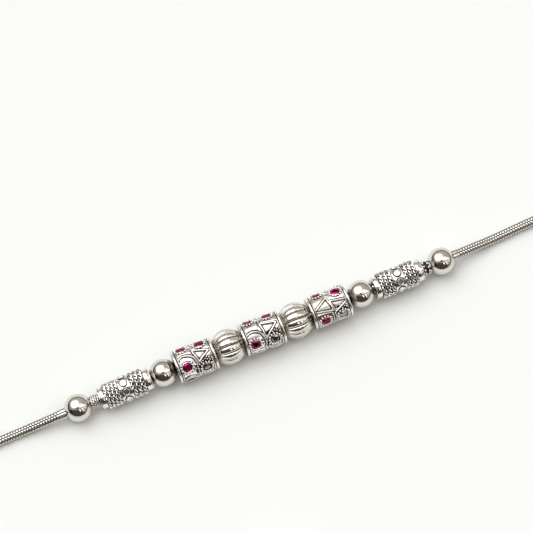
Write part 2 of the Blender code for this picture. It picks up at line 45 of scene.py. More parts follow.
# Chain
END_REACH = 1.7 * MM  # holds the end ring of the solid chain and no other
RING_REACH = 1.2 * MM  # holds one ring of it, seen from its centre
LINE_STEPS = 10  # from ring to ring
LINK_PITCH = 0.47 * MM
CHAIN_COLUMNS = 8
GROOVE_DEPTH = 0.13 * MM  # between columns
LINK_DIP = 0.12 * MM  # between links
# Place across a column, and the share of the groove's depth and tarnish there
COLUMN_PROFILE = ((-0.5, 1.0), (-0.36, 0.5), (-0.2, 0.05), (0.2, 0.05), (0.36, 0.5))
LINK_PROFILE = ((1.0, 1.0), (0.12, 0.0), (0.0, 0.0), (0.06, 0.0))  # share of the dip, and tarnish
FLARE_LENGTH = {"left": 1.7 * MM, "right": 1.3 * MM}
FLARE_OVERLAP = 1.0 * MM  # how far the flare goes on inside the ball
FLARE = 0.13  # of the chain's radius
FLARE_FADE = 1.3  # how fast the links fade out on it

# Balls
BORE_CLEARANCE = 0.12 * MM
BORE_TARNISH = 0.9
BORE_LIP = 0.02 * MM
LIP_TARNISH = 0.5
BALL_RINGS = 48
BALL_SIDES = 72
FLUTED_LOBES = 14
LOBE_SIDES = 14
FLUTED_RINGS = 72
FLUTED_DEPTH = 0.42 * MM
GROOVE_START = 0.27  # share of the depth where tarnish begins
GROOVE_SPAN = 0.38
GROOVE_WIDENING = 1.6  # how fast a groove deepens from the bead's end
GROOVE_POWER = 0.6
GROOVE_DARKENING = 3

# Rope rows of the tubes and coils
ROPE_BUMPS = 18
ROPE_STRAND = 0.122 * MM
ROPE_SWAY = 0.1 * MM  # in and out; sideways the wires fill the row
COIL_BUMPS = 10
COIL_ROWS = 4
COIL_STRAND = 0.24  # of a row
COIL_SWAY = 0.2
COIL_WALL = 0.03 * MM
COIL_SIDES = 32
SLEEVE_GRANULE = 0.2 * MM
SLEEVE_ROWS = (-0.25, 0.25)  # of the sleeve's length
SLEEVE_RIM = 0.06 * MM
SLEEVE_EDGE = 0.12 * MM
SLEEVE_SIDES = 40
TWIST_STEPS = 14
WIRE_SIDES = 7
WIRE_TARNISH = 0.4

# Tubes, in from the left: collar, rows, band, rows, collar
TUBE_SPANS = {
    "tube_left": ((0.9, 4 * 0.61, 1.95, 3 * 0.76, 1.03), (4, 3)),
    "tube_right": ((0.9, 3 * 0.74, 1.95, 3 * 0.72, 1.03), (3, 3)),
}
TUBE_DISCS = 8
TUBE_DISC_TURN = 32.0  # degrees from straight up
DISC_RADIUS = 0.58 * MM
DISC_RIM = 0.1 * MM
DISC_RISE = 0.17 * MM
DISC_ROOT = 0.45 * MM  # how deep it is sunk
DISC_FACE = 0.45  # of its rise
DISC_SIDES = 36
DISC_STEPS = 6  # over its rim
DISC_SHADE_BAND = 0.15 * MM  # painted shade in a band round a disc
AXIS_GAP = 0.0005 * MM
BAND_DROP = 0.2 * MM  # from the rows' crests
CORE_DROP = 0.42 * MM
COLLAR_LIP = 0.15 * MM
COLLAR_EDGE = 0.05 * MM
TUBE_SIDES = 144
BAND_ROWS = 25

# Drums, in from each end
RIM_WIDTH = 0.4 * MM
RIM_GROOVE = 0.12 * MM
INNER_RIM = 0.15 * MM
RIM_BULGE = 0.16 * MM
RIM_STEPS = 8
INNER_BULGE = 0.1 * MM
INNER_DROP = 0.12 * MM
INNER_STEPS = 5
FIELD_DROP = 0.17 * MM  # from the rim down to the field
FIELD_ROWS = 120
FIELD_SIDES = 336
GRANULE_RADIUS = 0.188 * MM
RING_GRANULES = 13
RING_RADIUS = 1.0 * MM
SETTING_RADIUS = 0.81 * MM
SETTING_ROOT = 0.5 * MM
SETTING_SIDES = 32
BEZEL_WALL = 0.05 * MM
STONE_OVERLAP = 0.045 * MM  # of the bezel over the stone's girdle
BEZEL_DROP = 0.19 * MM  # from the table down to the bezel's edge
RIDGE_HALF = 0.165 * MM
RIDGE_STEPS = 6
RIDGE_RISE = 0.15 * MM
PLATE_RISE = 0.07 * MM
PLATE_SLOPE = 0.14 * MM
CREASE = 0.085 * MM
GRAIN_REACH = 1.95 * MM  # how far granules spread from a clear stone
GRAIN_SPACING = 0.4 * MM
GRAIN_ROWS = 0.87  # distance of the rows, of the spacing
GRAIN_SHIFT = 0.04  # millimetres to each side, at random
GRAIN_SIZES = (0.72, 1.0)  # of the granules' radius, at random
FIRST_SEED = 11
# Raised lines and plates of the two columns, drawn once between the two upper stones of the
# column and repeated in its other gaps: millimetres along the drum from its middle, and degrees
# from straight up towards the front
DRUM_RIDGES = {
    "left": {
        "near": (((-2.72, 2), (-2.4, -7), (-1.85, -12), (-1.2, -10), (-0.6, -4), (-0.2, 4), (0.0, 16),
                  (0.16, 28)),),
        "far": (((-0.05, -22), (0.02, -12), (0.2, 0), (0.36, 14), (0.48, 26)),
                ((-0.05, -22), (1.1, -13), (2.42, -2)),
                ((0.48, 26), (1.2, 14), (2.42, -2)))},
    "middle": {
        "near": (((-2.78, 9), (-2.35, 2), (-1.8, 0), (-1.2, 2), (-0.62, 9), (-0.3, 18), (-0.14, 28),
                  (0.0, 42)),),
        "far": (((-0.18, -34), (-0.14, -20), (0.05, 0), (0.12, 20), (0.16, 42)),
                ((-0.14, -20), (1.1, -14), (2.4, -8)),
                ((0.16, 42), (0.9, 22), (1.6, 10), (2.4, -6)))},
    "right": {
        "near": (((-2.72, 14), (-1.5, -3), (-0.3, -21)),
                 ((-0.3, -21), (-0.1, -4), (0.05, 10), (0.12, 33)),
                 ((-2.72, 19), (-1.3, 25), (0.12, 33))),
        "far": (((0.12, -3), (1.3, 2), (2.55, 8)),
                ((0.12, -3), (0.25, 14), (0.5, 42)),
                ((0.5, 42), (1.3, 32), (2.55, 18)))},
}
DRUM_PLATES = {
    "left": {"near": ((-2.7, -33), (-0.3, -31), (-0.25, -8), (-1.1, -16), (-1.9, -19), (-2.7, -12)),
             "far": ((0.3, -12), (1.95, -1), (1.1, 7), (0.5, 15))},
    "middle": {"near": ((-2.72, -26), (-0.5, -26), (-0.5, 0), (-1.2, -5), (-1.8, -8), (-2.72, -3)),
               "far": ((0.16, -10), (2.0, -4), (1.2, 8), (0.3, 26))},
    "right": {"near": ((-0.42, -10), (-0.22, 14), (-2.2, 12)),
              "far": ((0.45, 6), (2.15, 14), (0.72, 34))},
}

# Stones, as shares of their diameter
TABLE_SHARE = 0.54
CROWN_SHARE = 0.17
GIRDLE_SHARE = 0.04
PAVILION_SHARE = 0.36
STAR_FACETS = (0.78, 0.42)  # shares of the girdle's radius and of the crown
MAIN_FACETS = (0.45, 0.58)  # shares of the girdle's radius and of the pavilion

# Clasp
CLASP_SIDES = 48
CLASP_EDGE = 0.55 * MM
CLASP_EDGE_STEPS = 8
CLASP_SEAM = 0.07 * MM
CLASP_SQUARENESS = 0.45
SOCKET_SHARE = 0.6  # of half the clasp's length


# Frame

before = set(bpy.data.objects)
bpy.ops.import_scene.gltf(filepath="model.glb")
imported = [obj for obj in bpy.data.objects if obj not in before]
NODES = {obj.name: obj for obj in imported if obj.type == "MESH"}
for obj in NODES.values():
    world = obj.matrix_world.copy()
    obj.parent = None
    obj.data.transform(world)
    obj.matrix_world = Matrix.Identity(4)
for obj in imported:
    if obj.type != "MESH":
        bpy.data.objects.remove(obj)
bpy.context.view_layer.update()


def welded(name):
    """A CAD node's own points, doubles joined, and the place of each of its vertices among them."""
    node = NODES[name]
    places, points, index = {}, [], []
    for vertex in node.data.vertices:
        point = node.matrix_world @ vertex.co
        key = tuple(round(c, 6) for c in point)
        if key not in places:
            places[key] = len(points)
            points.append(point)
        index.append(places[key])
    return points, index


def node_points(name):
    """A CAD node's own points, doubles left out."""
    return welded(name)[0]


def chain_rings():
    """Centres of the chain's rings in turn, from one end of it to the other."""
    points, index = welded("chain")
    neighbours = [set() for _ in points]
    for polygon in NODES["chain"].data.polygons:
        around = [index[v] for v in polygon.vertices]
        for a, b in zip(around, around[1:] + around[:1]):
            neighbours[a].add(b)
            neighbours[b].add(a)
    low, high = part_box("clasp")
    middle = (low + high) / 2
    inside = [i for i, p in enumerate(points) if low.x < p.x < middle.x and p.y < high.y]
    tip = max(inside, key=lambda i: points[i].x)
    level = [i for i in inside if (points[i] - points[tip]).length < END_REACH]
    seen = set(level)
    centres = []
    while level:
        centres.append(sum((points[i] for i in level), Vector()) / len(level))
        following = []
        for i in level:
            for j in neighbours[i]:
                if j not in seen:
                    seen.add(j)
                    following.append(j)
        level = following
    return centres, points


def smooth_curve(points, steps):
    """An open curve through the points, with this many steps from each to the next."""
    ends = [2 * points[0] - points[1], *points, 2 * points[-1] - points[-2]]
    dense = []
    for p0, p1, p2, p3 in zip(ends, ends[1:], ends[2:], ends[3:]):
        for k in range(steps):
            t = k / steps
            dense.append(0.5 * (2 * p1 + (p2 - p0) * t + (2 * p0 - 5 * p1 + 4 * p2 - p3) * t * t
                                + (3 * p1 - p0 - 3 * p2 + p3) * t ** 3))
    dense.append(points[-1])
    return np.array([tuple(p) for p in dense])


class Line:
    """The chain's smooth centre line, read by distance along it."""

    def __init__(self, centres):
        self.points = smooth_curve(centres, LINE_STEPS)
        steps = np.linalg.norm(np.diff(self.points, axis=0), axis=1)
        self.stations = np.concatenate(([0.0], np.cumsum(steps)))
        self.length = self.stations[-1]

    def at(self, station):
        station = np.asarray(station, float)
        return np.stack([np.interp(station, self.stations, self.points[:, k]) for k in range(3)], -1)

    def nearest(self, point):
        gaps = np.linalg.norm(self.points - np.array(tuple(point)), axis=1)
        return self.stations[int(np.argmin(gaps))]


CENTRES, CHAIN_POINTS = chain_rings()
LINE = Line(CENTRES)
# One ring away from the ends gives the chain's radius
FROM_RING = [(p - CENTRES[3]).length for p in CHAIN_POINTS]
CHAIN_RADIUS = max(distance for distance in FROM_RING if distance < RING_REACH)
BORE_RADIUS = CHAIN_RADIUS + BORE_CLEARANCE


class Bead:
    """Where a threaded bead sits: local Z along the chain, local X upwards, local Y to the front."""

    def __init__(self, name):
        low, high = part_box(name)
        station = LINE.nearest((low + high) / 2)
        points = node_points(name)
        for _ in range(3):
            here = Vector(LINE.at(station))
            along = (Vector(LINE.at(station + MM)) - Vector(LINE.at(station - MM))).normalized()
            reach = [(p - here).dot(along) for p in points]
            self.length = max(reach) - min(reach)
            station += (max(reach) + min(reach)) / 2
        self.station = station
        start = Vector(LINE.at(station - self.length / 2))
        end = Vector(LINE.at(station + self.length / 2))
        along = (end - start).normalized()
        up = (Vector((0, 0, 1)) - along * along.z).normalized()
        side = along.cross(up)
        turn = Matrix((up, side, along)).transposed().to_4x4()
        self.matrix = Matrix.Translation((start + end) / 2) @ turn
        back = self.matrix.inverted()
        self.local = [back @ p for p in points]

    def radius(self, low, high):
        """Largest distance from the axis of the points between two shares of half the length."""
        half = self.length / 2
        found = [math.hypot(p.x, p.y) for p in self.local if low * half <= p.z <= high * half]
        return max(found)


# Shapes: each is a list of points, a list of faces and a share of patina and painted shade for every point

def grid_faces(rows, columns, close_rows=True):
    """Faces of a grid of points whose rows close on themselves."""
    faces = []
    for i in range(rows if close_rows else rows - 1):
        for j in range(columns):
            a = i * columns + j
            b = i * columns + (j + 1) % columns
            c = (i + 1) % rows * columns + (j + 1) % columns
            d = (i + 1) % rows * columns + j
            faces.append((a, b, c, d))
    return faces


def arc(centre, radii, start, stop, steps):
    """Bright points (radius, height, tarnish) on an ellipse's arc, angles in degrees."""
    points = []
    for k in range(steps + 1):
        angle = math.radians(start + (stop - start) * k / steps)
        points.append((centre[0] + radii[0] * math.cos(angle), centre[1] + radii[1] * math.sin(angle), 0.0))
    return points


def circle(radius, height, sides, shift=0.0):
    """Points of a ring round local Z, turned on by a share of a side."""
    turns = (math.tau * (k + shift) / sides for k in range(sides))
    return [(radius * math.cos(turn), radius * math.sin(turn), height) for turn in turns]


def lathe(outline, sides):
    """Closed outline of (radius, height, tarnish) turned round local Z."""
    points, patina_and_shade = [], []
    for radius, height, dark in outline:
        points += circle(radius, height, sides)
        patina_and_shade += [dark] * sides
    return points, grid_faces(len(outline), sides), patina_and_shade


def ball(radius, floor_dark, rings=7, sides=10):
    """Closed small ball, darker on its lower side, towards local -Z."""
    points, patina_and_shade = [(0, 0, radius)], [0.0]
    for i in range(1, rings):
        angle = math.pi * i / rings
        points += circle(radius * math.sin(angle), radius * math.cos(angle), sides)
        patina_and_shade += [0.0 if math.cos(angle) > 0.1 else floor_dark] * sides
    points.append((0, 0, -radius))
    patina_and_shade.append(floor_dark)
    faces = [(0, 1 + k, 1 + (k + 1) % sides) for k in range(sides)]
    for i in range(rings - 2):
        for k in range(sides):
            a = 1 + i * sides + k
            b = 1 + i * sides + (k + 1) % sides
            faces.append((a, a + sides, b + sides, b))
    last = len(points) - 1
    base = 1 + (rings - 2) * sides
    faces += [(last, base + (k + 1) % sides, base + k) for k in range(sides)]
    return points, faces, patina_and_shade


def sweep(path, outline, normals):
    """Outline of (across, up) pairs swept round a closed path; normals give its up at each point."""
    path = np.array(path, float)
    tangents = np.roll(path, -1, axis=0) - np.roll(path, 1, axis=0)
    tangents /= np.linalg.norm(tangents, axis=1)[:, None]
    normals = np.array(normals, float)
    normals -= tangents * np.sum(normals * tangents, axis=1)[:, None]
    normals /= np.linalg.norm(normals, axis=1)[:, None]
    across = np.cross(tangents, normals)
    points = [tuple(path[i] + across[i] * a + normals[i] * b) for i in range(len(path)) for a, b in outline]
    return points, grid_faces(len(path), len(outline))


class Piece:
    """Closed shapes of one piece, gathered in its own frame."""

    def __init__(self):
        # Every point's share of darkening: patina in hollows, and painted shade in some places
        self.points, self.faces, self.patina_and_shade = [], [], []

    def add(self, shape, matrix=None):
        points, faces, patina_and_shade = shape
        base = len(self.points)
        if matrix is not None:
            points = [tuple(matrix @ Vector(p)) for p in points]
        self.points.extend(points)
        self.faces.extend(tuple(base + i for i in face) for face in faces)
        self.patina_and_shade.extend(patina_and_shade)
        return self

    def make(self, name, matrix, material, node, slot, sharp=40.0):
        """The finished object, riding on the CAD body in place of its node."""
        mesh = bpy.data.meshes.new(name)
        mesh.from_pydata(self.points, [], self.faces)
        dark = mesh.attributes.new("patina_and_shade", "FLOAT", "POINT")
        dark.data.foreach_set("value", self.patina_and_shade)
        mesh.materials.append(material)
        outwards(mesh)
        mesh.shade_smooth()
        mesh.set_sharp_from_angle(angle=math.radians(sharp))
        obj = bpy.data.objects.new(name, mesh)
        obj.matrix_world = matrix
        bpy.context.scene.collection.objects.link(obj)
        bpy.context.view_layer.update()
        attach(obj, "root")
        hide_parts(node)


def outwards(mesh):
    """Turns the faces of every closed shape outwards."""
    bm = bmesh.new()
    bm.from_mesh(mesh)
    bmesh.ops.recalc_face_normals(bm, faces=bm.faces)
    bm.to_mesh(mesh)
    bm.free()


# Materials

# Darkening of the silver: patina in its hollows, and painted shade round the coins and at the drums' raised
# lines
PATINA_AND_SHADE_COLOUR = (0.035, 0.027, 0.021)
PATINA_AND_SHADE_ROUGHNESS = 0.42
HALF_PATINA_AND_SHADE = (0.42, 0.39, 0.36)  # shares of the bright colour
PATINA_AND_SHADE_GRAIN = 2600.0
PATINA_AND_SHADE_SPREAD = 0.3


class Shader:
    """Short names for the nodes of a tree."""

    def __init__(self, tree):
        self.tree = tree

    def link(self, output, socket):
        self.tree.links.new(output, socket)

    def add(self, kind, inputs=(), **settings):
        """A node with these settings; each of its inputs is linked, or set to a plain value."""
        node = self.tree.nodes.new("ShaderNode" + kind)
        for name, value in settings.items():
            setattr(node, name, value)
        for name, value in dict(inputs).items():
            if isinstance(value, bpy.types.NodeSocket):
                self.link(value, node.inputs[name])
            else:
                node.inputs[name].default_value = value
        return node

    def math(self, operation, *values, clamp=False):
        return self.add("Math", enumerate(values), operation=operation, use_clamp=clamp).outputs[0]

    def vector(self, operation, *values):
        return self.add("VectorMath", enumerate(values), operation=operation)

    def dot(self, vector, constant):
        return self.vector("DOT_PRODUCT", vector, constant).outputs["Value"]

    def step(self, value, start, stop):
        """0 below start and 1 above stop, smoothly between."""
        ends = {"Value": value, "From Min": start, "From Max": stop}
        return self.add("MapRange", ends, interpolation_type="SMOOTHSTEP").outputs["Result"]

    def mix(self, factor, a, b):
        a, b = ((*value, 1.0) if isinstance(value, tuple) else value for value in (a, b))
        return self.add("Mix", {"Factor": factor, "A": a, "B": b}, data_type="RGBA").outputs["Result"]

    def noise(self, place, scale, detail):
        return self.add("TexNoise", {"Vector": place, "Scale": scale, "Detail": detail})

    def ramp(self, factor, first, last, *between):
        """The colour at a factor between stops of (place, colour)."""
        node = self.add("ValToRGB", {"Fac": factor})
        stops = node.color_ramp.elements
        for stop, (place, colour) in zip(stops, (first, last)):
            stop.color = (*colour, 1.0)
            stop.position = place
        for place, colour in between:
            stops.new(place).color = (*colour, 1.0)
        return node.outputs["Color"]


def new_material(name):
    """A material, its node tree and its shader."""
    material = bpy.data.materials.new(name)
    material.use_nodes = True
    tree = material.node_tree
    return material, Shader(tree), tree.nodes["Principled BSDF"]


def silver(name, bright, rough, ripple=0.0, ripple_scale=500.0):
    """Polished silver darkened where the mesh says so: patina in its hollows, and painted shade in some
    places.
    """
    material, s, shader = new_material(name)
    shader.inputs["Metallic"].default_value = 1.0
    shader.inputs["Specular IOR Level"].default_value = 0.5
    dark = s.add("Attribute", attribute_name="patina_and_shade").outputs["Fac"]
    place = s.add("TexCoord").outputs["Object"]
    grain = s.noise(place, PATINA_AND_SHADE_GRAIN, 3.0).outputs["Fac"]
    vary = s.math("MULTIPLY_ADD", grain, PATINA_AND_SHADE_SPREAD, -PATINA_AND_SHADE_SPREAD / 2)
    total = s.math("ADD", dark, s.math("MULTIPLY", vary, dark), clamp=True)
    middle = tuple(part * share for part, share in zip(bright, HALF_PATINA_AND_SHADE))
    colour = s.ramp(total, (0.12, bright), (0.95, PATINA_AND_SHADE_COLOUR), (0.5, middle))
    s.link(colour, shader.inputs["Base Color"])
    roughness = s.add("MapRange", {"Value": total, "To Min": rough, "To Max": PATINA_AND_SHADE_ROUGHNESS})
    s.link(roughness.outputs["Result"], shader.inputs["Roughness"])
    if ripple:
        wave = s.noise(place, ripple_scale, 2.0).outputs["Fac"]
        bump = s.add("Bump", {"Strength": 1.0, "Distance": ripple, "Height": wave})
        s.link(bump.outputs["Normal"], shader.inputs["Normal"])
    return material


def glass(name, colour, table_shade, foil):
    """Cut glass, tinted through, with painted shade darkening it at its table, over its share of foil."""
    material, s, shader = new_material(name)
    depth = s.add("Attribute", attribute_name="patina_and_shade").outputs["Fac"]
    # Painted shade: the darker colour at the table's points fades out over the star facets
    s.link(s.ramp(depth, (0.3, colour), (0.9, table_shade)), shader.inputs["Base Color"])
    shader.inputs["Roughness"].default_value = 0.04
    shader.inputs["Metallic"].default_value = foil
    shader.inputs["IOR"].default_value = 1.6
    shader.inputs["Transmission Weight"].default_value = 1.0
    return material


POLISHED = silver("polished_silver", (0.72, 0.688, 0.648), 0.05, ripple=0.006 * MM, ripple_scale=700.0)
FLUTED = silver("fluted_silver", (0.79, 0.76, 0.72), 0.08, ripple=0.006 * MM, ripple_scale=900.0)
CHAIN = silver("chain_silver", (0.9, 0.88, 0.85), 0.12)
CAST = silver("cast_silver", (0.88, 0.855, 0.82), 0.12, ripple=0.012 * MM, ripple_scale=1400.0)
# The second colour of each stone is its painted shade at the table
RUBY = glass("ruby_glass", (0.64, 0.014, 0.19), (0.18, 0.002, 0.055), 0.85)
CLEAR = glass("clear_glass", (0.85, 0.79, 0.74), (0.55, 0.48, 0.43), 0.6)


# Chain

def make_chain():
    """The woven chain as one skin: columns of links round it, every other column half a link on."""
    links = round(LINE.length / LINK_PITCH)
    steps = len(LINK_PROFILE)
    rows = links * steps
    stations = np.linspace(0.0, LINE.length, rows + 1)
    centres = LINE.at(stations)
    tangents = np.gradient(centres, axis=0)
    tangents /= np.linalg.norm(tangents, axis=1)[:, None]
    up = np.array([0.0, 0.0, 1.0]) - tangents * tangents[:, 2:3]
    up /= np.linalg.norm(up, axis=1)[:, None]
    side = np.cross(tangents, up)
    flare = np.zeros(rows + 1)
    for where, name, sign in (("left", "outer_ball_left", -1), ("right", "outer_ball_right", 1)):
        bead = BEADS[name]
        edge = bead.station + sign * bead.length / 2
        away = (stations - edge) * sign
        share = 1.0 - away / FLARE_LENGTH[where]
        flare = np.maximum(flare, np.where(away > -FLARE_OVERLAP, np.clip(share, 0.0, 1.0), 0.0))
    smooth = flare * flare * (3 - 2 * flare)
    points, patina_and_shade = [], []
    for i in range(rows + 1):
        fade = 1.0 - min(1.0, FLARE_FADE * smooth[i])
        for column in range(CHAIN_COLUMNS):
            dip, dark = LINK_PROFILE[(i + (column % 2) * steps // 2) % steps]
            for offset, groove in COLUMN_PROFILE:
                angle = math.tau * (column + 0.5 + offset) / CHAIN_COLUMNS
                low = groove * GROOVE_DEPTH + (1 - groove) * dip * LINK_DIP * fade
                radius = CHAIN_RADIUS * (1.0 + FLARE * smooth[i]) - low
                direction = math.cos(angle) * up[i] + math.sin(angle) * side[i]
                points.append(tuple(centres[i] + radius * direction))
                patina_and_shade.append(max(groove, dark * fade))
    columns = CHAIN_COLUMNS * len(COLUMN_PROFILE)
    faces = grid_faces(rows + 1, columns, close_rows=False)
    faces.append(tuple(range(columns)))
    faces.append(tuple(range(rows * columns, (rows + 1) * columns)))
    piece = Piece().add((points, faces, patina_and_shade))
    piece.make("woven_chain", Matrix(), CHAIN, "chain", "silver_chain", sharp=75.0)


# Beads

def bored_outline(outer):
    """Outer side (radius, height, tarnish) from the top down, closed by the bore."""
    return outer + [(BORE_RADIUS, outer[-1][1], BORE_TARNISH), (BORE_RADIUS, outer[0][1], BORE_TARNISH)]


def make_ball(name):
    """A polished ball with its bore."""
    bead = BEADS[name]
    radius = max(math.hypot(p.x, p.y) for p in bead.local)
    limit = math.degrees(math.acos(bead.length / 2 / radius))
    outer = [(radius * math.sin(math.radians(a)), radius * math.cos(math.radians(a)), 0.0)
             for a in np.linspace(limit, 180 - limit, BALL_RINGS + 1)]
    for end in (0, -1):
        outer[end] = (BORE_RADIUS + BORE_LIP, outer[end][1], LIP_TARNISH)
    piece = Piece().add(lathe(bored_outline(outer), BALL_SIDES))
    piece.make("polished_" + name, bead.matrix, POLISHED, name, "silver_polished")


def make_fluted(name):
    """A ball of rounded lobes that meet in tarnished grooves."""
    bead = BEADS[name]
    radius = max(math.hypot(p.x, p.y, p.z) for p in bead.local)
    half = bead.length / 2
    limit = math.acos(half / radius)
    sides = FLUTED_LOBES * LOBE_SIDES
    points, patina_and_shade = [], []
    for i in range(FLUTED_RINGS + 1):
        share = i / FLUTED_RINGS
        angle = limit + (math.pi - 2 * limit) * share
        envelope, height = radius * math.sin(angle), radius * math.cos(angle)
        swell = math.sin(math.pi * share)
        depth = FLUTED_DEPTH * min(1.0, GROOVE_WIDENING * swell) ** GROOVE_POWER
        for k in range(sides):
            turn = math.tau * k / sides
            phase = abs(math.cos(FLUTED_LOBES * turn / 2))
            cut = 1.0 - math.sqrt(1.0 - (1.0 - phase) ** 2)
            r = envelope - depth * cut
            points.append((r * math.cos(turn), r * math.sin(turn), height))
            patina_and_shade.append(min(1.0, max(0.0, cut - GROOVE_START) / GROOVE_SPAN)
                           * min(1.0, GROOVE_DARKENING * swell))
    for height in (-half, half):
        points += circle(BORE_RADIUS, height, sides)
        patina_and_shade += [BORE_TARNISH] * sides
    piece = Piece().add((points, grid_faces(FLUTED_RINGS + 3, sides), patina_and_shade))
    piece.make("lobed_" + name, bead.matrix, FLUTED, name, "silver_polished", sharp=60.0)


def rope_row(piece, crest, height, pitch, strand, sway, bumps, phase=0.0):
    """Two wires wound round each other and bent into a ring round the bead."""
    turns = bumps // 2
    steps = turns * TWIST_STEPS
    outline = [point[:2] for point in circle(strand, 0.0, WIRE_SIDES)]
    centre = crest - strand - sway
    for start in (0.0, math.pi):
        path, normals = [], []
        for i in range(steps):
            turn = math.tau * i / steps
            twist = turns * turn + start + phase
            radius = centre + sway * math.cos(twist)
            along = height + (pitch / 2 - strand) * math.sin(twist)
            path.append((radius * math.cos(turn), radius * math.sin(turn), along))
            normals.append((math.cos(turn), math.sin(turn), 0.0))
        points, faces = sweep(path, outline, normals)
        depths = ((centre - math.hypot(x, y)) / strand for x, y, _ in points)
        dark = [min(1.0, max(0.0, depth + WIRE_TARNISH)) for depth in depths]
        piece.add((points, faces, dark))


def make_coil_left():
    """Rings of wound wire side by side."""
    name = "coil_left"
    bead = BEADS[name]
    crest = bead.radius(-1.0, 1.0)
    half = bead.length / 2
    pitch = bead.length / COIL_ROWS
    strand = COIL_STRAND * pitch
    sway = COIL_SWAY * pitch
    core = max(crest - 2 * strand - 2 * sway, BORE_RADIUS + COIL_WALL)
    piece = Piece().add(lathe(bored_outline([(core, half, 1.0), (core, -half, 1.0)]), COIL_SIDES))
    for row in range(COIL_ROWS):
        rope_row(piece, crest, half - (row + 0.5) * pitch, pitch, strand, sway, COIL_BUMPS,
                 phase=row * math.pi / 2)
    piece.make("wound_" + name, bead.matrix, CAST, name, "silver_cast", sharp=60.0)


def make_coil_right():
    """A plain sleeve set with two rows of granules."""
    name = "coil_right"
    bead = BEADS[name]
    crest = bead.radius(-1.0, 1.0)
    half = bead.length / 2
    core = crest - 0.75 * SLEEVE_GRANULE
    rim = core + SLEEVE_RIM
    inner = half - SLEEVE_EDGE
    outer = [(rim, half, 0.1), (rim, inner, 0.1), (core, inner, 1.0),
             (core, -inner, 1.0), (rim, -inner, 0.1), (rim, -half, 0.1)]
    piece = Piece().add(lathe(bored_outline(outer), SLEEVE_SIDES))
    for row, height in enumerate(SLEEVE_ROWS):
        for k in range(COIL_BUMPS):
            turn = math.tau * (k + 0.5 * row) / COIL_BUMPS
            place = radial(turn, height * bead.length, core + 0.02 * MM)
            piece.add(ball(SLEEVE_GRANULE, floor_dark=0.8), place)
    piece.make("beaded_" + name, bead.matrix, CAST, name, "silver_cast", sharp=60.0)


def disc_shape():
    """A coin with a raised rim, its face towards local +Z, sunk by its own root."""
    face = DISC_FACE * DISC_RISE
    outline = [(AXIS_GAP, face, 0.0), (DISC_RADIUS - DISC_RIM * 1.5, face, 0.0),
               (DISC_RADIUS - DISC_RIM * 1.35, face, 0.1),
               (DISC_RADIUS - DISC_RIM * 1.1, face - 0.02 * MM, 0.6)]
    outline += arc((DISC_RADIUS - DISC_RIM / 2, 0.6 * DISC_RISE),
                   (DISC_RIM / 2, 0.4 * DISC_RISE), 170, 0, DISC_STEPS)
    # The rim's outer side and root are darkened: painted shade, joining the band round the coin
    outline += [(DISC_RADIUS, 0.02 * MM, 0.9), (DISC_RADIUS, -DISC_ROOT, 1.0),
                (AXIS_GAP, -DISC_ROOT, 1.0)]
    return lathe(outline, DISC_SIDES)


def radial(angle, height, out=0.0):
    """Local Z outwards at this angle round a bead, this high along it and this far out."""
    outwards_axis = Vector((math.cos(angle), math.sin(angle), 0))
    along = Vector((0, 0, 1))
    turn = Matrix((along.cross(outwards_axis), along, outwards_axis)).transposed().to_4x4()
    return Matrix.Translation((0, 0, height)) @ turn @ Matrix.Translation((0, 0, out))


def make_tube(name):
    """A tube with a collar at each end, rows of rope and a band of coins."""
    bead = BEADS[name]
    half = bead.length / 2
    crest = bead.radius(-1.0, 1.0)
    collar = bead.radius(-1.0, -0.98)
    spans, counts = TUBE_SPANS[name]
    scale = bead.length / sum(spans)
    marks = [-half]
    for span in spans:
        marks.append(marks[-1] + span * scale)
    low, high = marks[2], marks[3]
    band = crest - BAND_DROP
    core = crest - CORE_DROP
    lip, edge = COLLAR_LIP, COLLAR_EDGE

    def collar_side(sign, top, length):
        """From a collar's free end inwards: drop from the collar, way along it and tarnish."""
        steps = ((edge, 0.0, 0.0), (0.0, edge, 0.0), (0.0, lip, 0.0), (0.05 * MM, lip + 0.03 * MM, 0.95),
                 (0.01 * MM, lip + 0.07 * MM, 0.05), (0.02 * MM, length * 0.6, 0.0),
                 (0.0, length * 0.9, 0.0), (0.06 * MM, length, 1.0))
        return [(collar - drop, top - sign * way, dark) for drop, way, dark in steps]

    outer = collar_side(1, half, half - marks[4])
    outer += [(core, marks[4], 1.0), (core, high, 1.0), (band - 0.05 * MM, high, 0.9)]
    outer += [(band, h, 0.0) for h in np.linspace(high - 0.1 * MM, low + 0.1 * MM, BAND_ROWS)]
    outer += [(band - 0.05 * MM, low, 0.9), (core, low, 1.0), (core, marks[1], 1.0)]
    outer += list(reversed(collar_side(-1, -half, marks[1] + half)))
    points, faces, patina_and_shade = lathe(bored_outline(outer), TUBE_SIDES)
    # Painted shade in a band round each coin
    eighth = math.tau / TUBE_DISCS
    for i, (x, y, z) in enumerate(points):
        turn = math.atan2(y, x) - math.radians(TUBE_DISC_TURN)
        across = (turn + eighth / 2) % eighth - eighth / 2
        if low < z < high and math.hypot(across * band, z - (low + high) / 2) < DISC_RADIUS + DISC_SHADE_BAND:
            patina_and_shade[i] = 1.0
    piece = Piece().add((points, faces, patina_and_shade))
    for start, stop, count in ((marks[1], low, counts[0]), (high, marks[4], counts[1])):
        pitch = (stop - start) / count
        for row in range(count):
            rope_row(piece, crest, start + (row + 0.5) * pitch, pitch, ROPE_STRAND, ROPE_SWAY, ROPE_BUMPS,
                     phase=(row % 2) * math.pi / 2)
    for i in range(TUBE_DISCS):
        angle = math.radians(TUBE_DISC_TURN) + math.tau * i / TUBE_DISCS
        piece.add(disc_shape(), radial(angle, (low + high) / 2, band - 0.02 * MM))
    piece.make("roped_" + name, bead.matrix, CAST, name, "silver_cast", sharp=50.0)


# Drums

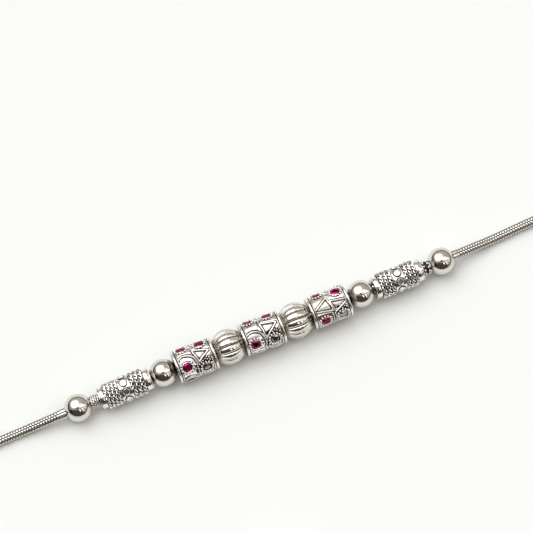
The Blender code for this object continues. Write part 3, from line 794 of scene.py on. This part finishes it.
def stone_seats(where, bead):
    """Each stone of a drum: its node, its angle and height on it, and its table's distance out."""
    back = bead.matrix.inverted()
    seats = []
    for name in sorted(NODES):
        kind, _, rest = name.partition("_")
        if kind in ("ruby", "clear") and rest.startswith(where):
            points = [back @ p for p in node_points(name)]
            middle = sum(points, Vector()) / len(points)
            angle = math.atan2(middle.y, middle.x)
            table = max(p.x * math.cos(angle) + p.y * math.sin(angle) for p in points)
            seats.append((name, angle, middle.z, table))
    return seats


def row_gaps(seats, side):
    """Start and stop angle of the gaps between the stones of one column, the upper front one first."""
    angles = sorted(angle for _, angle, height, _ in seats if height * side > 0)
    gaps = list(zip(angles, angles[1:] + [angles[0] + math.tau]))
    first = min(range(len(gaps)), key=lambda i: abs(sum(gaps[i]) / 2))
    return gaps[first:] + gaps[:first]


def in_gaps(line, gaps, field):
    """A line drawn in the first gap, laid in every gap, as (height, reach) arrays."""
    start, stop = gaps[0]
    copies = []
    for low, high in gaps:
        scale = (high - low) / (stop - start)
        copies.append(np.array([(h * MM, (low + (math.radians(a) - start) * scale) * field)
                                for h, a in line]))
    return copies


def unrolled(reach, line, field):
    """Reach round the drum, taken within half a turn of the middle of a line."""
    turn = math.tau * field
    middle = line[:, 1].mean()
    return (reach - middle + turn / 2) % turn - turn / 2 + middle


def away_from_line(height, reach, line, field):
    """Distance of every place on the field from a line of points."""
    reach = unrolled(reach, line, field)
    best = np.full(height.shape, 1.0)
    for (h0, a0), (h1, a1) in zip(line, line[1:]):
        dh, da = h1 - h0, a1 - a0
        share = np.clip(((height - h0) * dh + (reach - a0) * da) / max(dh * dh + da * da, 1e-18), 0, 1)
        best = np.minimum(best, np.hypot(height - h0 - share * dh, reach - a0 - share * da))
    return best


def within(height, reach, outline, field):
    """Which places on the field lie inside a closed outline."""
    reach = unrolled(reach, outline, field)
    hit = np.zeros(height.shape, bool)
    for (h0, a0), (h1, a1) in zip(outline, np.roll(outline, -1, axis=0)):
        if a0 != a1:
            crosses = (a0 > reach) != (a1 > reach)
            hit ^= crosses & (height < (h1 - h0) * (reach - a0) / (a1 - a0) + h0)
    return hit


def smooth_step(value, start, stop):
    """0 up to start and 1 from stop on, smoothly between."""
    t = np.clip((value - start) / (stop - start), 0.0, 1.0)
    return t * t * (3.0 - 2.0 * t)


def seat_distance(height, reach, seat, field):
    """Distance of every place on the field from the middle of a stone."""
    _, angle, seat_height, _ = seat
    turn = math.tau * field
    across = (reach - angle * field + turn / 2) % turn - turn / 2
    return np.hypot(height - seat_height, across)


def drum_relief(where, seats, field, height, reach):
    """Rise above the field and darkening at every place, with patina and painted shade at the raised lines'
    feet, and the distance from the raised lines.
    """
    ridge_away = np.full(height.shape, 1.0)
    plate = np.zeros(height.shape)
    for column, side in (("near", -1), ("far", 1)):
        gaps = row_gaps(seats, side)
        for line in DRUM_RIDGES[where][column]:
            for copy in in_gaps(line, gaps, field):
                ridge = smooth_curve(copy, RIDGE_STEPS)
                ridge_away = np.minimum(ridge_away, away_from_line(height, reach, ridge, field))
        for copy in in_gaps(DRUM_PLATES[where][column], gaps, field):
            inside = within(height, reach, copy, field)
            depth = away_from_line(height, reach, np.vstack((copy, copy[:1])), field)
            plate = np.maximum(plate, np.where(inside, smooth_step(depth, 0.0, PLATE_SLOPE), 0.0))
    ridge = np.sqrt(np.clip(1.0 - (ridge_away / RIDGE_HALF) ** 2, 0.0, 1.0))
    rise = np.maximum(ridge * RIDGE_RISE, plate * PLATE_RISE)
    # The creases at the raised lines' feet are dipped and darkened: patina and painted shade
    foot = np.exp(-((ridge_away - RIDGE_HALF - 0.4 * CREASE) / CREASE) ** 2)
    rise = rise - 0.9 * CREASE * foot
    dark = np.maximum(0.1 * (1.0 - plate), np.minimum(1.0, 1.3 * foot))
    dark = np.where(ridge > 0.45, 0.0, dark)
    for seat in seats:
        away = seat_distance(height, reach, seat, field)
        wide = GRAIN_REACH if seat[0].startswith("clear") else RING_RADIUS + 0.12 * MM
        dark = np.maximum(dark, (1.0 - smooth_step(away, wide - 0.12 * MM, wide + 0.06 * MM))
                          * np.where(ridge > 0.3, 0.15, 1.0))
    return rise, dark, ridge_away


def drum_body(bead, rim, field, where, seats):
    """The drum without its settings: two rims at each end and the raised field between."""
    half = bead.length / 2
    inner = half - RIM_WIDTH - RIM_GROOVE - INNER_RIM
    upper = [(rim - 0.2 * MM, half, 0.3)]
    upper += arc((rim - RIM_BULGE, half - RIM_WIDTH / 2), (RIM_BULGE, RIM_WIDTH / 2), 78, -60, RIM_STEPS)
    groove = half - RIM_WIDTH - RIM_GROOVE
    upper += [(rim - 0.17 * MM, half - RIM_WIDTH, 1.0), (rim - 0.18 * MM, groove, 1.0)]
    upper += arc((rim - INNER_DROP, groove - INNER_RIM / 2),
                 (INNER_BULGE, INNER_RIM / 2), 75, -75, INNER_STEPS)
    upper += [(field - 0.02 * MM, inner - 0.01 * MM, 1.0)]
    lower = [(r, -h, dark) for r, h, dark in reversed(upper)]
    limit = inner - 0.03 * MM
    turns = math.tau * np.arange(FIELD_SIDES) / FIELD_SIDES
    heights = np.linspace(limit, -limit, FIELD_ROWS)
    height, turn = np.meshgrid(heights, turns, indexing="ij")
    rise, dark, _ = drum_relief(where, seats, field, height, turn * field)
    edge = smooth_step(np.abs(height), limit - 0.1 * MM, limit)
    dark = np.maximum(dark, 0.7 * edge)
    radius = field + rise
    x, y = radius * np.cos(turn), radius * np.sin(turn)
    relief = list(zip(x.ravel().tolist(), y.ravel().tolist(), height.ravel().tolist()))
    upper_points, _, upper_dark = lathe(upper, FIELD_SIDES)
    bore = [(BORE_RADIUS, -half, BORE_TARNISH), (BORE_RADIUS, half, BORE_TARNISH)]
    lower_points, _, lower_dark = lathe(lower + bore, FIELD_SIDES)
    faces = grid_faces(len(upper) + FIELD_ROWS + len(lower + bore), FIELD_SIDES)
    return upper_points + relief + lower_points, faces, upper_dark + dark.ravel().tolist() + lower_dark


def setting(piece, seat, field, limit):
    """A thin bezel round a stone inside a ring of granules."""
    _, angle, height, table = seat
    place = radial(angle, height)
    base = field - SETTING_ROOT
    top = max(table - BEZEL_DROP, field + 0.08 * MM)
    outline = [(SETTING_RADIUS - BEZEL_WALL, top - 0.03 * MM, 0.3), (SETTING_RADIUS, top, 0.0),
               (SETTING_RADIUS + BEZEL_WALL, top - 0.03 * MM, 0.2),
               (SETTING_RADIUS + 0.08 * MM, field + 0.03 * MM, 1.0), (RING_RADIUS, field - 0.06 * MM, 1.0),
               (RING_RADIUS, base, 1.0), (SETTING_RADIUS - BEZEL_WALL, base, 1.0)]
    piece.add(lathe(outline, SETTING_SIDES), place)
    for k in range(RING_GRANULES):
        turn = math.tau * (k + 0.5) / RING_GRANULES
        across, along = RING_RADIUS * math.cos(turn), RING_RADIUS * math.sin(turn)
        if abs(height + along) < limit:
            drop = 0.6 * (field - math.sqrt(field * field - across * across))
            at = Matrix.Translation((across, along, field + 0.05 * MM - drop))
            piece.add(ball(GRANULE_RADIUS, floor_dark=0.7), place @ at)


def scatter_granules(piece, seats, where, field, limit, seed):
    """Granules of mixed sizes round the clear stones."""
    random = np.random.default_rng(seed)
    rows = int(2 * limit / (GRAIN_SPACING * GRAIN_ROWS))
    around = int(math.tau * field / GRAIN_SPACING)
    row, place = np.meshgrid(np.arange(rows + 1), np.arange(around), indexing="ij")
    height = -limit + 2 * limit * row / rows + random.uniform(-GRAIN_SHIFT, GRAIN_SHIFT, row.shape) * MM
    reach = (place + 0.5 * (row % 2)) * math.tau * field / around
    reach = reach + random.uniform(-GRAIN_SHIFT, GRAIN_SHIFT, row.shape) * MM
    size = GRANULE_RADIUS * random.uniform(*GRAIN_SIZES, row.shape)
    rise, _, ridge_away = drum_relief(where, seats, field, height, reach)
    near_clear = np.zeros(row.shape, bool)
    free = (ridge_away > RIDGE_HALF + 0.1 * size) & (rise < 0.3 * PLATE_RISE)
    for seat in seats:
        away = seat_distance(height, reach, seat, field)
        free &= away > RING_RADIUS + GRANULE_RADIUS + 0.1 * size
        if seat[0].startswith("clear"):
            near_clear |= away < GRAIN_REACH
    chosen = free & near_clear
    for h, a, r in zip(height[chosen], reach[chosen], size[chosen]):
        piece.add(ball(r, rings=6, sides=8, floor_dark=0.8), radial(a / field, h, field + 0.02 * MM))


def make_drum(where, seed):
    """A drum with its settings, granules and stones."""
    name = "drum_" + where
    bead = BEADS[name]
    rim = bead.radius(0.9, 1.0)
    field = rim - FIELD_DROP
    limit = bead.length / 2 - RIM_WIDTH - RIM_GROOVE - INNER_RIM
    seats = stone_seats(where, bead)
    piece = Piece().add(drum_body(bead, rim, field, where, seats))
    for seat in seats:
        setting(piece, seat, field, limit + 0.1 * MM)
    scatter_granules(piece, seats, where, field, limit - 0.1 * MM, seed)
    piece.make("cast_" + name, bead.matrix, CAST, name, "silver_cast", sharp=60.0)
    for seat in seats:
        make_stone(seat, bead)


def stone_shape(diameter):
    """Round cut stone: table, star, main and girdle facets over a two-step pavilion."""
    girdle = diameter / 2
    crown = CROWN_SHARE * diameter
    belt = GIRDLE_SHARE * diameter
    depth = PAVILION_SHARE * diameter
    points = []

    def ring(count, radius, height, shift):
        points.extend(circle(radius, height, count, shift))
        return len(points) - count

    table = ring(8, TABLE_SHARE * girdle, 0.0, 0.0)
    star = ring(8, STAR_FACETS[0] * girdle, -STAR_FACETS[1] * crown, 0.5)
    upper = ring(16, girdle, -crown, 0.0)
    lower = ring(16, girdle, -crown - belt, 0.0)
    mains = ring(8, MAIN_FACETS[0] * girdle, -crown - belt - MAIN_FACETS[1] * depth, 0.5)
    culet = len(points)
    points.append((0.0, 0.0, -crown - belt - depth))
    faces = [tuple(table + k for k in range(8))]
    for k in range(8):
        n = (k + 1) % 8
        faces.append((table + k, table + n, star + k))
        faces.append((table + n, star + n, upper + 2 * n, star + k))
        faces.append((star + k, upper + 2 * k, upper + 2 * k + 1))
        faces.append((star + k, upper + 2 * k + 1, upper + (2 * k + 2) % 16))
        faces.append((lower + 2 * k, lower + 2 * k + 1, mains + k))
        faces.append((lower + 2 * k + 1, lower + (2 * k + 2) % 16, mains + k))
        faces.append((mains + k, lower + (2 * k + 2) % 16, mains + n, culet))
    for k in range(16):
        n = (k + 1) % 16
        faces.append((upper + k, upper + n, lower + n, lower + k))
    # The table's points carry painted shade, for the stone's dark centre
    return points, faces, [1.0 if k < star else 0.0 for k in range(len(points))]


def make_stone(seat, bead):
    """A cut stone with its table where the solid one has it."""
    name, angle, height, table = seat
    spread = node_points(name)
    middle = sum(spread, Vector()) / len(spread)
    diameter = 2 * max((p - middle).length for p in spread)
    kind = name.split("_")[0]
    place = bead.matrix @ radial(angle, height) @ Matrix.Translation((0, 0, table))
    girdle = 2 * (SETTING_RADIUS - STONE_OVERLAP)
    material = RUBY if kind == "ruby" else CLEAR
    piece = Piece().add(stone_shape(max(diameter, girdle)))
    piece.make("cut_" + name, place, material, name, kind + "_glass", sharp=2.0)


# Clasp

def make_clasp():
    """The plain closing piece: a rounded bar with a seam, and a socket at each end."""
    low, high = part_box("clasp")
    start = Vector(LINE.at(0.0))
    end = Vector(LINE.at(LINE.length))
    along = Vector((start.x - end.x, start.y - end.y, 0)).normalized()
    if along.x < 0:
        along = -along
    side = Vector((0, 0, 1)).cross(along)
    points = node_points("clasp")
    centre = sum(points, Vector()) / len(points)
    centre.z = (low.z + high.z) / 2
    reach = [(p - centre).dot(along) for p in points]
    spread = [(p - centre).dot(side) for p in points]
    centre += along * (max(reach) + min(reach)) / 2 + side * (max(spread) + min(spread)) / 2
    half = (max(reach) - min(reach)) / 2
    width = (max(spread) - min(spread)) / 2
    height = (high.z - low.z) / 2
    matrix = Matrix.Translation(centre) @ Matrix((side, Vector((0, 0, 1)), along)).transposed().to_4x4()
    sides, edge, seam = CLASP_SIDES, CLASP_EDGE, CLASP_SEAM
    rounded = []
    for k in range(CLASP_EDGE_STEPS + 1):
        angle = math.pi / 2 * k / CLASP_EDGE_STEPS
        rounded.append((half - edge + edge * math.cos(angle), -edge + edge * math.sin(angle), 0.0))
    profile = rounded + [(seam, 0.0, 0.0), (0.4 * seam, -seam, 1.0), (-0.4 * seam, -seam, 1.0),
                         (-seam, 0.0, 0.0)]
    profile += [(-z, grow, dark) for z, grow, dark in reversed(rounded)]
    points, patina_and_shade = [], []
    for z, grow, dark in profile:
        for k in range(sides):
            angle = math.tau * k / sides
            c, s = math.cos(angle), math.sin(angle)
            x = math.copysign(abs(c) ** CLASP_SQUARENESS, c) * (width + grow)
            y = math.copysign(abs(s) ** CLASP_SQUARENESS, s) * (height + grow)
            points.append((x, y, z))
            patina_and_shade.append(dark)
    rows = len(profile)
    faces = grid_faces(rows, sides, close_rows=False)
    socket = SOCKET_SHARE * half
    for row, sign in ((0, 1), (rows - 1, -1)):
        base = len(points)
        for z in (sign * half, sign * (half - socket)):
            points += circle(BORE_RADIUS, z, sides)
            patina_and_shade += [1.0] * sides
        for k in range(sides):
            n = (k + 1) % sides
            faces.append((row * sides + k, row * sides + n, base + n, base + k))
            faces.append((base + k, base + n, base + sides + n, base + sides + k))
        faces.append(tuple(base + sides + k for k in range(sides)))
    Piece().add((points, faces, patina_and_shade)).make("plain_clasp", matrix, POLISHED, "clasp",
                                               "silver_polished", sharp=45.0)


# Light, floor and camera

# What a polished ball mirrors, on its disc seen from the camera: centre x and y, half width and
# half height as shares of the ball's radius, turn in degrees, softness, and radiance
ROOM = (
    ("low_dark", (-0.02, -0.42, 0.56, 0.32, 0.0, 0.16), (0.07, 0.062, 0.055)),
    ("low_left", (-0.5, -0.28, 0.18, 0.15, 10.0, 0.12), (0.016, 0.015, 0.014)),
    ("window_glow", (-0.14, 0.28, 0.37, 0.31, 0.0, 0.32), (0.66, 0.63, 0.565)),
    ("window", (-0.2, 0.28, 0.25, 0.22, 12.0, 0.14), (3.06, 3.1, 3.17)),
    ("window_right", (0.33, 0.16, 0.25, 0.13, -14.0, 0.14), (1.7, 1.63, 1.48)),
    ("streak_near", (0.17, -0.15, 0.035, 0.1, 32.0, 0.04), (1.7, 1.65, 1.55)),
    ("streak_far", (0.35, -0.1, 0.05, 0.14, 32.0, 0.05), (1.5, 1.45, 1.36)),
    ("bar", (0.32, 0.03, 0.3, 0.02, 18.0, 0.04), (0.1, 0.095, 0.09)),
    ("brown", (-0.1, -0.18, 0.14, 0.06, -8.0, 0.1), (0.12, 0.062, 0.048)),
    ("photographer", (-0.01, 0.01, 0.07, 0.06, 0.0, 0.06), (0.02, 0.02, 0.02)),
)
ROOM_WARP = 0.16
WARP_SCALE = 4.5
SKY_NEAR = (0.475, 0.447, 0.39)
SKY_FAR = (0.515, 0.486, 0.43)
SKY_LEFT = (0.16, 0.155, 0.147)
HORIZON = (0.035, 0.033, 0.031)
FLOOR_COLOUR = (0.882, 0.903, 0.895)
FLOOR_HALF = 3.0
FACING = (0.0, -math.cos(math.radians(CAMERA_ELEVATION)), math.sin(math.radians(CAMERA_ELEVATION)))
DISC_UP = (0.0, math.sin(math.radians(CAMERA_ELEVATION)), math.cos(math.radians(CAMERA_ELEVATION)))


def make_world():
    """A soft room for the metal to mirror, drawn as a polished ball shows it to the camera."""
    world = bpy.data.worlds.new("studio")
    bpy.context.scene.world = world
    world.use_nodes = True
    tree = world.node_tree
    s = Shader(tree)
    direction = s.add("TexCoord").outputs["Generated"]
    halfway = s.vector("NORMALIZE", s.vector("ADD", direction, FACING).outputs[0]).outputs[0]
    warp = s.add("SeparateColor", {0: s.noise(halfway, WARP_SCALE, 2.0).outputs["Color"]})
    x = s.math("MULTIPLY_ADD", warp.outputs[0], ROOM_WARP, -ROOM_WARP / 2)
    x = s.math("ADD", x, s.dot(halfway, (1.0, 0.0, 0.0)))
    y = s.math("MULTIPLY_ADD", warp.outputs[1], ROOM_WARP, -ROOM_WARP / 2)
    y = s.math("ADD", y, s.dot(halfway, DISC_UP))
    height = s.dot(direction, (0.0, 0.0, 1.0))
    colour = s.mix(s.step(y, -0.2, 0.75), SKY_NEAR, SKY_FAR)
    colour = s.mix(s.step(x, -0.25, -0.7), colour, SKY_LEFT)
    colour = s.mix(s.step(height, 0.24, 0.05), colour, HORIZON)
    for _, (cx, cy, w, h, turn, soft), radiance in ROOM:
        c, n = math.cos(math.radians(turn)), math.sin(math.radians(turn))
        dx, dy = s.math("SUBTRACT", x, cx), s.math("SUBTRACT", y, cy)
        u = s.math("ADD", s.math("MULTIPLY", dx, c), s.math("MULTIPLY", dy, n))
        v = s.math("SUBTRACT", s.math("MULTIPLY", dy, c), s.math("MULTIPLY", dx, n))
        u = s.math("POWER", s.math("ABSOLUTE", s.math("DIVIDE", u, w)), 3.0)
        v = s.math("POWER", s.math("ABSOLUTE", s.math("DIVIDE", v, h)), 3.0)
        edge = s.math("POWER", s.math("ADD", u, v), 1 / 3)
        blur = soft / (w + h)
        colour = s.mix(s.step(edge, 1.0 + blur, 1.0 - blur), colour, radiance)
    background = tree.nodes["Background"]
    s.link(colour, background.inputs["Color"])
    background.inputs["Strength"].default_value = 1.0


def make_floor():
    """Plain pale paper."""
    mesh = bpy.data.meshes.new("floor")
    corners = [(x * FLOOR_HALF, y * FLOOR_HALF, 0) for x, y in ((-1, -1), (1, -1), (1, 1), (-1, 1))]
    mesh.from_pydata(corners, [], [(0, 1, 2, 3)])
    material, _, shader = new_material("floor_paper")
    shader.inputs["Base Color"].default_value = (*FLOOR_COLOUR, 1.0)
    shader.inputs["Roughness"].default_value = 0.9
    shader.inputs["Specular IOR Level"].default_value = 0.0
    mesh.materials.append(material)
    floor = bpy.data.objects.new("floor", mesh)
    bpy.context.scene.collection.objects.link(floor)


def make_camera():
    """The photo's view."""
    data = bpy.data.cameras.new("camera")
    camera = bpy.data.objects.new("camera", data)
    bpy.context.scene.collection.objects.link(camera)
    forward = -Vector(FACING)
    drum = BEADS["drum_middle"].matrix.translation
    target = Vector((drum.x + BEYOND_DRUM[0], drum.y + BEYOND_DRUM[1], 0))
    turn = forward.to_track_quat("-Z", "Y").to_matrix().to_4x4()
    camera.matrix_world = Matrix.Translation(target - forward * CAMERA_DISTANCE) @ turn
    focal_pixels = CAMERA_DISTANCE / (MM_PER_PIXEL * MM)
    data.sensor_width = SENSOR_WIDTH
    data.lens = focal_pixels * SENSOR_WIDTH / IMAGE_WIDTH
    data.clip_start = 0.01
    data.dof.use_dof = False
    bpy.context.scene.camera = camera


BALLS = ("outer_ball_left", "inner_ball_left", "inner_ball_right", "outer_ball_right")
FLUTED_BALLS = ("fluted_left", "fluted_right")
DRUMS = ("left", "middle", "right")
THREADED = (*BALLS, *FLUTED_BALLS, *TUBE_SPANS, "coil_left", "coil_right",
            *("drum_" + where for where in DRUMS))
BEADS = {name: Bead(name) for name in THREADED}

make_chain()
for ball_name in BALLS:
    make_ball(ball_name)
for fluted_name in FLUTED_BALLS:
    make_fluted(fluted_name)
make_coil_left()
make_coil_right()
for tube_name in TUBE_SPANS:
    make_tube(tube_name)
for order, drum_where in enumerate(DRUMS):
    make_drum(drum_where, FIRST_SEED + order)
make_clasp()
make_floor()
make_world()
make_camera()
bpy.context.scene.view_settings.view_transform = "Standard"
